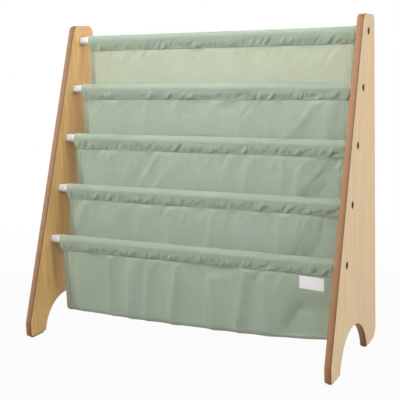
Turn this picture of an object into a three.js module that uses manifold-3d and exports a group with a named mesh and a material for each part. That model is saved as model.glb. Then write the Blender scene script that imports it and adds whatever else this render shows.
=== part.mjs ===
// Sling bookshelf for a child's room: two plywood side panels, five coated steel rods bolted
// between them, and a cloth sling whose four pockets hang from the rods.
// Millimetres. X runs along the rods, -Y is the front, +Z is up. The pads stand on Z = 0, and
// the origin is below the middle of the outer box.
import * as THREE from 'three';
import { mergeVertices } from 'three/addons/utils/BufferGeometryUtils.js';
import Module from 'manifold-3d';

const wasm = await Module();
wasm.setup();

// Overall size
const overallWidth = 610;
const overallHeight = 592.5;
const baseDepth = 255;
const topDepth = 64;

// Side panels
const panelThickness = 12;
const toeHeight = 27.3;
const toeShoulderRadius = 24;
const toeRadius = 7;
const heelRadius = 22;
const topCornerRadius = 14;
const arrisRadius = 1.5;
const frontFootLength = 46.5;
const rearFootLength = 59.5;
const archRise = 61;

// Rods
const rodCount = 5;
const rodDiameter = 16;
const rodWall = 1;
const rodPitch = 101.5;
const rodSetback = 34.2;
const topRodDrop = 30.2;
const socketDepth = 4;

// Bolts and threaded inserts
const boltDiameter = 6;
const boltHeadDiameter = 12;
const boltHeadThickness = 2.8;
const boltHeadRim = 0.6;
const boltLength = 24;
const boltTipChamfer = 1;
const hexKeySize = 4;
const hexKeyDepth = 1.8;
const headSinkDepth = 0.8;
const insertLength = 18;
const insertGroove = 0.8;

// Foot pads
const padThickness = 2.2;
const padLength = 34;
const padWidth = 8;
const padCornerRadius = 2;
const padToeInset = 8;
const padHeelInset = 22;

// Cloth
const clothThickness = 1.1;
const leftClothGap = 20;
const rightClothGap = 10.4;
const casingDrop = 21.5;
const seamWidth = 5;
const puckerDepth = 1;
const puckerPitch = 62;
const pocketDrop = 144.6;
const pocketBendRadius = 11;
const pocketSag = 3;
const pocketRise = 3;
const pocketHitch = 5;
const hitchStartShare = 0.84;
const foldDepth = 3.4;
const labelWidth = 44;
const labelHeight = 22.5;
const labelThickness = 0.5;
const labelDrop = 5;
const labelEdgeInset = 18.6;
const labelTilt = THREE.MathUtils.degToRad(3);

// Clearances
const seatGap = 0.3;
const rodSocketClearance = 1.6;
const boltClearance = 0.3;
const headClearance = 0.6;

// Overrun of every cutting tool, and the distance at which two corners count as one
const cutOverrun = 2;
const mergeDistance = 0.0005;

// Facet counts
const cornerSteps = 8;
const archSteps = 28;
const arrisSteps = 2;
const rodSides = 24;
const boltSides = 14;
const hexSides = 6;
const casingColumns = 18;
const casingArcSteps = 10;
const pocketColumns = 20;
const pocketLegRows = 3;
const pocketBendRows = 4;
const labelColumns = 4;
const labelRows = 2;

// How far each fold of a pocket's cloth lies along it and how it leans, as shares of the cloth's
// width, how wide it is, also as a share of that width, and how deep, as a share of the fold depth.
// The first list is for rear walls, whose folds lean in from the seam above, and the second for
// front walls, whose folds fall nearly straight.
const rearFoldShares = [
  { place: 0.13, lean: -0.03, breadth: 0.05, depth: 0.45 },
  { place: 0.34, lean: -0.04, breadth: 0.045, depth: 0.6 },
  { place: 0.55, lean: -0.03, breadth: 0.05, depth: 0.7 },
  { place: 0.72, lean: -0.05, breadth: 0.045, depth: 0.5 },
  { place: 0.9, lean: -0.08, breadth: 0.045, depth: 1 },
];
const frontFoldShares = [
  { place: 0.2, lean: 0.03, breadth: 0.045, depth: 0.7 },
  { place: 0.4, lean: 0.01, breadth: 0.04, depth: 0.65 },
  { place: 0.53, lean: 0.0, breadth: 0.05, depth: 0.35 },
  { place: 0.66, lean: -0.01, breadth: 0.04, depth: 0.6 },
  { place: 0.86, lean: -0.06, breadth: 0.045, depth: 1 },
];
const foldDriftShare = 0.035;

// Where the bend of a pocket starts and ends, as shares of the way from its rear seam to its front
const bendStartShare = 0.56;
const bendEndShare = 0.66;

// Derived places. The lean is the angle between the front edge and the vertical.
const rearY = baseDepth / 2;
const footZ = padThickness + seatGap;
const innerFaceX = overallWidth / 2 - panelThickness;
const toeTopZ = footZ + toeHeight;
const frontSlope = (baseDepth - topDepth) / (overallHeight - toeTopZ);
const lean = Math.atan(frontSlope);
const frontEdgeY = (z) => rearY - topDepth - frontSlope * (overallHeight - z);

const clothLeftX = -innerFaceX + leftClothGap;
const clothRightX = innerFaceX - rightClothGap;

const rodAxes = Array.from({ length: rodCount }, (_, index) => {
  const z = overallHeight - topRodDrop - index * rodPitch * Math.cos(lean);
  return { y: frontEdgeY(z) + rodSetback / Math.cos(lean), z };
});

// Materials
function finish(color, roughness, metalness) {
  return new THREE.MeshStandardMaterial({ color, roughness, metalness });
}
const plywood = () => finish(0xd8b88c, 0.55, 0);
const whiteCoating = () => finish(0xf2f1ee, 0.35, 0.1);
const blackSteel = () => finish(0x3a2f26, 0.45, 0.8);
const zincSteel = () => finish(0xb9bcc0, 0.4, 0.9);
const greyFelt = () => finish(0x857a69, 0.95, 0);
const sageCloth = () => finish(0xa9b59c, 0.9, 0);
const whiteTape = () => finish(0xf4f3f0, 0.8, 0);

const assembly = new THREE.Group();
function place(name, geometry, material) {
  const mesh = new THREE.Mesh(geometry, material);
  mesh.name = name;
  assembly.add(mesh);
  return mesh;
}

// Solids from closed meshes, and back
function toSolid(geometry) {
  const bare = geometry.clone();
  bare.deleteAttribute('normal');
  bare.deleteAttribute('uv');
  const merged = mergeVertices(bare, mergeDistance);
  return new wasm.Manifold(new wasm.Mesh({
    numProp: 3,
    vertProperties: new Float32Array(merged.attributes.position.array),
    triVerts: new Uint32Array(merged.index.array),
  }));
}

function toGeometry(solid) {
  const mesh = solid.getMesh();
  const geometry = new THREE.BufferGeometry();
  geometry.setAttribute('position', new THREE.BufferAttribute(new Float32Array(mesh.vertProperties), 3));
  geometry.setIndex(new THREE.BufferAttribute(new Uint32Array(mesh.triVerts), 1));
  geometry.computeVertexNormals();
  return geometry;
}

function cut(geometry, tools) {
  return toGeometry(tools.reduce((solid, tool) => solid.subtract(toSolid(tool)), toSolid(geometry)));
}

// A profile of (radius, distance along X) points, turned round the X axis
function turnedAlongX(profile, sides) {
  const points = profile.map(([radius, along]) => new THREE.Vector2(radius, along));
  return new THREE.LatheGeometry(points, sides).rotateZ(-Math.PI / 2);
}

// A round cutting tool along X between two places
function boreAlongX(diameter, fromX, toX, sides) {
  const tool = new THREE.CylinderGeometry(diameter / 2, diameter / 2, Math.abs(toX - fromX), sides);
  return tool.rotateZ(-Math.PI / 2).translate((fromX + toX) / 2, 0, 0);
}

// Points of a round corner of an outline that is drawn anticlockwise
function roundCorner(before, corner, after, radius) {
  const back = before.clone().sub(corner).normalize();
  const ahead = after.clone().sub(corner).normalize();
  const halfAngle = back.angleTo(ahead) / 2;
  const middle = back.clone().add(ahead).normalize();
  const centre = corner.clone().addScaledVector(middle, radius / Math.sin(halfAngle));
  const start = corner.clone().addScaledVector(back, radius / Math.tan(halfAngle)).sub(centre);
  const turn = Math.PI - 2 * halfAngle;
  return Array.from({ length: cornerSteps + 1 }, (_, step) =>
    start.clone().rotateAround(new THREE.Vector2(), (turn * step) / cornerSteps).add(centre));
}

// Side panel outline in the Y-Z plane: heel, rear edge, top, leaning front edge, toe, foot arch
function panelOutline() {
  const at = (y, z) => new THREE.Vector2(y, z);
  const archHalf = (baseDepth - frontFootLength - rearFootLength) / 2;
  const archY = rearY - rearFootLength - archHalf;
  const archRadius = (archHalf ** 2 + archRise ** 2) / (2 * archRise);
  const archCentreZ = footZ + archRise - archRadius;
  const heel = at(rearY, footZ);
  const rearTop = at(rearY, overallHeight);
  const frontTop = at(frontEdgeY(overallHeight), overallHeight);
  const shoulder = at(rearY - baseDepth, toeTopZ);
  const toe = at(rearY - baseDepth, footZ);
  const archFront = at(archY - archHalf, footZ);
  const archRear = at(archY + archHalf, footZ);
  const springing = Math.atan2(footZ - archCentreZ, archHalf);
  const arch = Array.from({ length: archSteps + 1 }, (_, step) => {
    const angle = Math.PI - springing - ((Math.PI - 2 * springing) * step) / archSteps;
    return at(archY + archRadius * Math.cos(angle), archCentreZ + archRadius * Math.sin(angle));
  });
  return [
    ...roundCorner(archRear, heel, rearTop, heelRadius),
    ...roundCorner(heel, rearTop, frontTop, topCornerRadius),
    ...roundCorner(rearTop, frontTop, shoulder, topCornerRadius),
    ...roundCorner(frontTop, shoulder, toe, toeShoulderRadius),
    ...roundCorner(shoulder, toe, archFront, toeRadius),
    ...arch,
  ];
}

// Plywood panel with rounded arrises: the outline lies in Y-Z and its thickness runs along X
function panelBlank(outerX, innerX) {
  const blank = new THREE.ExtrudeGeometry(new THREE.Shape(panelOutline()), {
    depth: panelThickness - 2 * arrisRadius,
    bevelThickness: arrisRadius,
    bevelSize: arrisRadius,
    bevelOffset: -arrisRadius,
    bevelSegments: arrisSteps,
  });
  const alongY = new THREE.Vector3(0, 1, 0);
  const alongZ = new THREE.Vector3(0, 0, 1);
  const alongX = new THREE.Vector3(1, 0, 0);
  blank.applyMatrix4(new THREE.Matrix4().makeBasis(alongY, alongZ, alongX));
  return blank.translate(Math.min(outerX, innerX) + arrisRadius, 0, 0);
}

// Each rod has a blind socket on the inner face, a bolt hole and a counterbore on the outer face
function sidePanel(side) {
  const innerX = side * innerFaceX;
  const outerX = side * (overallWidth / 2);
  const socketFloorX = innerX + side * socketDepth;
  const counterboreX = outerX - side * (boltHeadThickness + headSinkDepth + seatGap);
  const socketDiameter = rodDiameter + 2 * rodSocketClearance;
  const holeDiameter = boltDiameter + 2 * boltClearance;
  const counterboreDiameter = boltHeadDiameter + 2 * headClearance;
  const tools = rodAxes.flatMap(({ y, z }) => [
    boreAlongX(socketDiameter, innerX - side * cutOverrun, socketFloorX, rodSides),
    boreAlongX(holeDiameter, innerX, outerX, boltSides),
    boreAlongX(counterboreDiameter, counterboreX, outerX + side * cutOverrun, rodSides),
  ].map((tool) => tool.translate(0, y, z)));
  return cut(panelBlank(outerX, innerX), tools);
}

const rodHalfLength = innerFaceX + socketDepth - seatGap;
const rodBoreDiameter = rodDiameter - 2 * rodWall;

function rod() {
  const outer = rodDiameter / 2;
  const inner = rodBoreDiameter / 2;
  return turnedAlongX([
    [inner, -rodHalfLength],
    [outer, -rodHalfLength],
    [outer, rodHalfLength],
    [inner, rodHalfLength],
    [inner, -rodHalfLength],
  ], rodSides);
}

// Threaded plug in the rod's end, with one grip groove round it
function rodInsert(side) {
  const outer = rodBoreDiameter / 2 - seatGap;
  const inner = boltDiameter / 2 + boltClearance;
  const third = insertLength / 3;
  const profile = [
    [inner, 0],
    [outer, 0],
    [outer, third],
    [outer - insertGroove, insertLength / 2],
    [outer, insertLength - third],
    [outer, insertLength],
    [inner, insertLength],
    [inner, 0],
  ];
  const plug = turnedAlongX(profile, boltSides);
  return plug.rotateZ(side > 0 ? Math.PI : 0).translate(side * rodHalfLength, 0, 0);
}

// Furniture bolt: flat head with a bevelled rim and a hexagon socket, sunk into the counterbore
function panelBolt(side) {
  const head = boltHeadDiameter / 2;
  const shank = boltDiameter / 2;
  const body = turnedAlongX([
    [0, 0],
    [head - boltHeadRim, 0],
    [head, boltHeadRim],
    [head, boltHeadThickness],
    [shank, boltHeadThickness],
    [shank, boltLength - boltTipChamfer],
    [shank - boltTipChamfer, boltLength],
    [0, boltLength],
  ], boltSides);
  const key = boreAlongX(hexKeySize / Math.cos(Math.PI / hexSides), -cutOverrun, hexKeyDepth, hexSides);
  const bolt = cut(body, [key]);
  return bolt.rotateZ(side > 0 ? Math.PI : 0).translate(side * (overallWidth / 2 - headSinkDepth), 0, 0);
}

// Felt strip under a foot, with rounded corners
function footPad() {
  const halfLength = padLength / 2;
  const halfWidth = padWidth / 2;
  const corners = [
    new THREE.Vector2(halfWidth, -halfLength),
    new THREE.Vector2(halfWidth, halfLength),
    new THREE.Vector2(-halfWidth, halfLength),
    new THREE.Vector2(-halfWidth, -halfLength),
  ];
  const outline = corners.flatMap((corner, index) =>
    roundCorner(corners.at(index - 1), corner, corners[(index + 1) % corners.length], padCornerRadius));
  return new THREE.ExtrudeGeometry(new THREE.Shape(outline), { depth: padThickness, bevelEnabled: false });
}

// Joins a grid of outer points to a grid of inner points. Columns run along the piece, and the
// first and last of them are closed by a rim. Rows are closed on themselves when ring is true,
// and by a rim on their first and last otherwise.
function clothSolid(outerGrid, innerGrid, ring) {
  const columns = outerGrid.length;
  const rows = outerGrid[0].length;
  const points = [...outerGrid.flat(), ...innerGrid.flat()];
  const outer = (i, j) => i * rows + (j % rows);
  const inner = (i, j) => columns * rows + outer(i, j);
  const faces = [];
  const quad = (a, b, c, d) => faces.push(a, b, c, a, c, d);
  const lastRow = ring ? rows : rows - 1;
  for (let i = 0; i < columns - 1; i += 1) {
    for (let j = 0; j < lastRow; j += 1) {
      quad(outer(i, j), outer(i + 1, j), outer(i + 1, j + 1), outer(i, j + 1));
      quad(inner(i, j), inner(i, j + 1), inner(i + 1, j + 1), inner(i + 1, j));
    }
  }
  const end = columns - 1;
  for (let j = 0; j < lastRow; j += 1) {
    quad(inner(0, j), outer(0, j), outer(0, j + 1), inner(0, j + 1));
    quad(outer(end, j), inner(end, j), inner(end, j + 1), outer(end, j + 1));
  }
  if (!ring) {
    for (let i = 0; i < end; i += 1) {
      quad(inner(i, 0), inner(i + 1, 0), outer(i + 1, 0), outer(i, 0));
      quad(outer(i, lastRow), outer(i + 1, lastRow), inner(i + 1, lastRow), inner(i, lastRow));
    }
  }
  const geometry = new THREE.BufferGeometry().setFromPoints(points);
  geometry.setIndex(faces);
  geometry.computeVertexNormals();
  return geometry;
}

// A sheet of cloth: surface(u, v) is its middle, and half of its thickness lies on each side
function sheet(surface, columnShares, rowShares, thickness) {
  const nearShare = 0.001;
  const grid = (offset) => columnShares.map((u) => rowShares.map((v) => {
    const along = surface(u + nearShare, v).sub(surface(u - nearShare, v));
    const down = surface(u, v + nearShare).sub(surface(u, v - nearShare));
    return surface(u, v).addScaledVector(along.cross(down).normalize(), offset);
  }));
  return clothSolid(grid(thickness / 2), grid(-thickness / 2), false);
}

const evenShares = (count) => Array.from({ length: count + 1 }, (_, index) => index / count);
const mix = THREE.MathUtils.lerp;

// Rod casing: cloth wrapped over the rod and sewn to itself below. Its section is a drop: an arc
// over the rod and two straight flanks that meet at the seam, where the cloth puckers to and fro.
function casingSection(radius, seamHalf, drop) {
  const hang = Math.asin(radius / drop);
  const arc = evenShares(casingArcSteps).map((share) => {
    const angle = mix(Math.PI + hang, -hang, share);
    return new THREE.Vector2(radius * Math.cos(angle), radius * Math.sin(angle));
  });
  return [...arc, new THREE.Vector2(seamHalf, -drop), new THREE.Vector2(-seamHalf, -drop)];
}

function rodCasing({ y, z }, index) {
  const arcStep = (Math.PI + 2 * Math.asin(rodDiameter / 2 / casingDrop)) / casingArcSteps;
  const innerRadius = (rodDiameter / 2 + seatGap) / Math.cos(arcStep / 2);
  const outerSection = casingSection(innerRadius + clothThickness, clothThickness, casingDrop);
  const innerSection = casingSection(innerRadius, seatGap, casingDrop - seamWidth);
  const grid = (section) => evenShares(casingColumns).map((u) => section.map((point) => {
    const fall = Math.max(0, -point.y / casingDrop);
    const x = mix(clothLeftX, clothRightX, u);
    const pucker = puckerDepth * fall ** 2 * Math.sin((2 * Math.PI * x) / puckerPitch + index);
    return new THREE.Vector3(x, y + point.x + pucker, z + point.y);
  }));
  return clothSolid(grid(outerSection), grid(innerSection), true);
}

// How far the folds stand into the pocket at a share along the cloth and a share down the wall.
// Each fold is a bell across the cloth that starts at the seam above and deepens towards the bend.
function foldInset(folds, drift, u, down) {
  return foldDepth * down * folds.reduce((sum, fold) => {
    const middle = fold.place + drift + fold.lean * down;
    return sum + fold.depth * Math.exp(-(((u - middle) / fold.breadth) ** 2));
  }, 0);
}

// How far the bend lies above the pocket's drop: it sags in mid-length, climbs to the right and is
// pulled up at its right-hand end.
function bendLift(u) {
  const sag = pocketSag * (1 - (2 * u - 1) ** 2);
  return pocketRise * u ** 2 + pocketHitch * THREE.MathUtils.smoothstep(u, hitchStartShare, 1) - sag;
}

// Pocket between two rods: the rear wall hangs from the rear rod's seam and the front wall from
// the front rod's seam. Both lean in towards the bend.
// v runs from 0 at the rear seam through the bend, from bendStart to bendEnd, to 1 at the front.
const seamOffset = clothThickness / 2 + seatGap / 2;

function pocketSurface(rearRod, frontRod, index) {
  const middleY = (rearRod.y + frontRod.y) / 2;
  const seamHalf = (rearRod.y - frontRod.y) / 2 - seamOffset;
  const hangBelow = casingDrop + seatGap;
  return (u, v) => {
    const bendZ = frontRod.z - pocketDrop + pocketBendRadius + bendLift(u);
    const rearDown = Math.min(v / bendStartShare, 1);
    const frontDown = Math.min((1 - v) / (1 - bendEndShare), 1);
    const turn = THREE.MathUtils.clamp((v - bendStartShare) / (bendEndShare - bendStartShare), 0, 1);
    const angle = -Math.PI * turn;
    const drift = foldDriftShare * Math.sin(index);
    const inset = mix(
      foldInset(rearFoldShares, drift, u, rearDown),
      foldInset(frontFoldShares, -drift, u, frontDown),
      turn,
    );
    const radius = pocketBendRadius - inset;
    const rearTopZ = rearRod.z - hangBelow;
    const frontTopZ = frontRod.z - hangBelow;
    const x = mix(clothLeftX, clothRightX, u);
    if (rearDown < 1) {
      const half = mix(seamHalf, pocketBendRadius, 1 - (1 - rearDown) ** 2) - inset;
      return new THREE.Vector3(x, middleY + half, mix(rearTopZ, bendZ, rearDown));
    }
    if (frontDown < 1) {
      const half = mix(seamHalf, pocketBendRadius, 1 - (1 - frontDown) ** 2) - inset;
      return new THREE.Vector3(x, middleY - half, mix(frontTopZ, bendZ, frontDown));
    }
    return new THREE.Vector3(x, middleY + radius * Math.cos(angle), bendZ + radius * Math.sin(angle));
  };
}

const pocketRowShares = [
  ...evenShares(pocketLegRows).map((share) => share * bendStartShare).slice(0, -1),
  ...evenShares(pocketBendRows).map((share) => mix(bendStartShare, bendEndShare, share)),
  ...evenShares(pocketLegRows).map((share) => mix(bendEndShare, 1, share)).slice(1),
];

// Label sewn flat on the front wall of the lowest pocket, following its cloth
function sewnLabel(frontWall) {
  const wallHeight = pocketDrop - pocketBendRadius - casingDrop;
  const lift = clothThickness / 2 + labelThickness / 2 + seatGap;
  const middleX = clothRightX - labelEdgeInset - labelWidth / 2;
  const middle = new THREE.Vector2(middleX, labelDrop + labelHeight / 2);
  const surface = (u, v) => {
    const corner = new THREE.Vector2(labelWidth * (u - 0.5), labelHeight * (0.5 - v));
    const { x, y: depth } = corner.rotateAround(new THREE.Vector2(), -labelTilt).add(middle);
    const share = 1 - (depth / wallHeight) * (1 - bendEndShare);
    return frontWall((x - clothLeftX) / (clothRightX - clothLeftX), share).sub(new THREE.Vector3(0, lift, 0));
  };
  return sheet(surface, evenShares(labelColumns), evenShares(labelRows), labelThickness);
}

const sides = [{ name: 'left', side: -1 }, { name: 'right', side: 1 }];

sides.forEach(({ name, side }) => {
  place(`side_panel_${name}`, sidePanel(side), plywood());
  const padX = side * (overallWidth / 2 - panelThickness / 2);
  const frontPadY = rearY - baseDepth + padToeInset + padLength / 2;
  const rearPadY = rearY - padHeelInset - padLength / 2;
  place(`foot_pad_${name}_front`, footPad(), greyFelt()).position.set(padX, frontPadY, 0);
  place(`foot_pad_${name}_rear`, footPad(), greyFelt()).position.set(padX, rearPadY, 0);
});

rodAxes.forEach(({ y, z }, index) => {
  const number = index + 1;
  place(`rod_${number}`, rod(), whiteCoating()).position.set(0, y, z);
  sides.forEach(({ name, side }) => {
    place(`rod_insert_${name}_${number}`, rodInsert(side), zincSteel()).position.set(0, y, z);
    place(`panel_bolt_${name}_${number}`, panelBolt(side), blackSteel()).position.set(0, y, z);
  });
  place(`rod_casing_${number}`, rodCasing({ y, z }, index), sageCloth());
});

rodAxes.slice(0, -1).forEach((rearRod, index) => {
  const surface = pocketSurface(rearRod, rodAxes[index + 1], index);
  const pocket = sheet(surface, evenShares(pocketColumns), pocketRowShares, clothThickness);
  place(`pocket_${index + 1}`, pocket, sageCloth());
  if (index === rodCount - 2) {
    place('sewn_label', sewnLabel(surface), whiteTape());
  }
});

export default assembly;
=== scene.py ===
# Sling bookshelf: the looks of its plywood panels, coated rods, bolts and sewn cloth sling.
# Metres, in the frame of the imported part: X along the rods, -Y the front, +Z up.
import math

import bmesh
import bpy
import numpy as np
from mathutils import Matrix, Vector


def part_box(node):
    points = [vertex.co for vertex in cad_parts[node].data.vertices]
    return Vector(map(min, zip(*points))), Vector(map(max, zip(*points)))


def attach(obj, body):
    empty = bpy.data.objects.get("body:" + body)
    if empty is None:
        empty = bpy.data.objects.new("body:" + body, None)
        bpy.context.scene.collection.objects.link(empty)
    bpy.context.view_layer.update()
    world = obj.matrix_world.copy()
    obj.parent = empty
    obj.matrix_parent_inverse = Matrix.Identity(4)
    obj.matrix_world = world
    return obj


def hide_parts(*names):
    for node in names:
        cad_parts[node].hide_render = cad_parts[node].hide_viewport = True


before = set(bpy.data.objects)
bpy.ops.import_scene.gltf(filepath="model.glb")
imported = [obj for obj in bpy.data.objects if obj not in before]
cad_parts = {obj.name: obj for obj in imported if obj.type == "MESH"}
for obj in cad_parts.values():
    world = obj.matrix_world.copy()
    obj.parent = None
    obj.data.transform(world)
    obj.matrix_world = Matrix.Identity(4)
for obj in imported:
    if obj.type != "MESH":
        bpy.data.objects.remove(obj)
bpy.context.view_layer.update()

scene = bpy.context.scene

MM = 0.001
BODY = "root"
SIDES = ("left", "right")
ROD_COUNT = 5
POCKET_COUNT = 4

# Cloth
CLOTH_HALF = 0.35 * MM          # half of one layer
CASING_DROP = 21.5 * MM         # from a rod's axis down to the seam
CASING_LOOSE = 0.85 * MM        # from the rod's surface to the middle of the layer
CASING_BOW = 1.5 * MM           # how far the casing's flanks belly out
CASING_LIP = 0.95 * MM          # from the seam's middle to the casing's layers, outside the walls
WALL_LIP = 0.5 * MM             # from the seam's middle to each pocket wall
WALL_TUCK = 1.5 * MM            # how far a wall reaches up between the casing's layers
SEAM_FLANGE = 0.06              # share of the flank that lies flat below the stitches
SEAM_WANDER = 0.35 * MM         # how far a seam strays from its line
SEAM_LONG_WAVE = 37 * MM        # one radian of the long wave in which it strays
SEAM_SHORT_WAVE = 13 * MM       # and of the short one
HEM_WIDTH = 8 * MM
HEM_STEP = 0.7 * MM             # half the width of the step from the hem to the single layer
HEM_EXTRA = 0.6 * MM            # each side of the middle, where the hem's layers lie
HEM_PULL = 0.9 * MM             # how deep the hem's stitches pull the cloth in
HEM_PULL_REACH = 1.6 * MM       # half the width of that groove
HEM_PULL_OFFSET = 1 * MM        # from the hem's edge to the groove
HEM_CURL = 1.2 * MM             # how far the free side edges bend back
HEM_CURL_REACH = 10.4 * MM      # from the side edge inwards
HEM_CURL_START = 25 * MM        # below the seam, where the edges are free to bend fully
POCKET_BEND = 11 * MM           # radius of the bend at the bottom
POCKET_SAG = 3 * MM
POCKET_RISE = 3 * MM            # the bend climbs to the right
POCKET_HITCH = 5 * MM           # and is pulled up at its right-hand end
HITCH_START = 0.84              # share of the cloth's width where that pull starts
POCKET_DROP = 144.6 * MM        # from the front rod's axis down to the bend
REAR_WALL_LENGTH = 204 * MM     # about, for spacing the grid
FRONT_WALL_LENGTH = 112 * MM
BEND_START = 0.56               # share of the way down the cloth where the bend starts
BEND_END = 0.66
FOLD_START = 8 * MM             # below the seam, where the folds have their full height
FOLD_FADE = 0.75                # share of a fold's height that is gone under the bend
PUCKER_START = (1.5 * MM, 4 * MM)   # above a casing's lower edge, from nothing to the full height
PUCKER_END = (14 * MM, 23 * MM)     # and back to nothing
GROOVE_SHARE = 0.8              # share of the room behind a casing that a groove may take
LEAST_ROOM = 0.05 * MM          # which is never reckoned as less than this
FLANK_GAP = 0.1 * MM            # from a groove's limit to the middle between the flanks
LEAN_SPREAD = 0.22              # how much the slope of a ripple's crests varies

# Stitches
STITCH_PITCH = 3.4 * MM
STITCH_LENGTH = 2.5 * MM
STITCH_RADIUS = 0.3 * MM
STITCH_TIP = 0.12               # share of its length in the cone at each end
SEAM_STITCH_RISE = 1.9 * MM     # above the casing's lower edge
HEM_STITCH_INSET = 7.4 * MM     # in from the cloth's side edge

# Label
LABEL_WIDTH = 44 * MM
LABEL_HEIGHT = 22.5 * MM
LABEL_HALF = 0.25 * MM          # half its thickness
LABEL_GAP = 0.15 * MM           # from the cloth to its back
LABEL_TILT = math.radians(3)
LABEL_STITCH_INSET = 2.2 * MM
CALM_SIDE = (24 * MM, 2 * MM)   # left of the label, where folds begin to calm and where they are gone
CALM_BELOW = (42 * MM, 3 * MM)  # and below it

# Hard pieces
ROD_WALL = 1.0 * MM
ROD_ROUNDING = 0.35 * MM
ROUNDING_HOLD = 2 * MM          # from the rounding to a ring that keeps the tube's side straight
PAD_CORNER = 2 * MM

# Grid sizes
CASING_COLUMNS = 380
CASING_ROWS = 56
POCKET_COLUMNS = 290
POCKET_ROWS = 150
LABEL_COLUMNS = 46
LABEL_ROWS = 24
LABEL_BRIDGE = 6                # steps each way over which the label's tape bridges small creases
FINE_BAND = 12 * MM             # strip at each side of the cloth
FINE_RATIO = 3.0                # how many times closer its columns are
RIM_STEPS = 3
STITCH_RINGS = 4
STITCH_SIDES = 6
TUBE_SIDES = 64
ROUNDING_STEPS = 5
BOLT_SIDES = 48
CORNER_STEPS = 8


# Places read from the frame

def middle_of(node):
    """Middle of a node's box, as an array."""
    return np.array(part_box(node)).mean(axis=0)


rod_axes = [middle_of(f"rod_{k + 1}")[1:] for k in range(ROD_COUNT)]
rod_low, rod_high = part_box("rod_1")
rod_radius = (rod_high.z - rod_low.z) / 2
casing_low, casing_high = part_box("rod_casing_1")
cloth_left, cloth_right = casing_low.x, casing_high.x
panel_low, panel_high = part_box("side_panel_right")
panel_inner, panel_outer = panel_low.x, panel_high.x


# Materials

def linear(colour):
    """An sRGB hex colour as linear RGBA."""
    parts = [int(colour[n:n + 2], 16) / 255 for n in (1, 3, 5)]
    return [c / 12.92 if c <= 0.04045 else ((c + 0.055) / 1.055) ** 2.4 for c in parts] + [1.0]


def add(tree, kind, inputs=None, stops=None, **settings):
    """Adds a shader node. settings are its properties and stops its ramp. inputs holds a value for each
    input socket, or the socket or node that links to it, where a node stands for its first output."""
    node = tree.nodes.new("ShaderNode" + kind)
    for name, value in settings.items():
        setattr(node, name, value)
    for name, value in (inputs or {}).items():
        if isinstance(value, bpy.types.Node):
            value = value.outputs[0]
        if isinstance(value, bpy.types.NodeSocket):
            tree.links.new(value, node.inputs[name])
        else:
            node.inputs[name].default_value = value
    if stops:
        elements = node.color_ramp.elements
        while len(elements) < len(stops):
            elements.new(0.5)
        for element, (position, colour) in zip(elements, stops):
            element.position = position
            element.color = colour
    return node


def new_material(name):
    """A material and its empty tree."""
    material = bpy.data.materials.new(name)
    material.use_nodes = True
    tree = material.node_tree
    tree.nodes.clear()
    return material, tree


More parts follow.
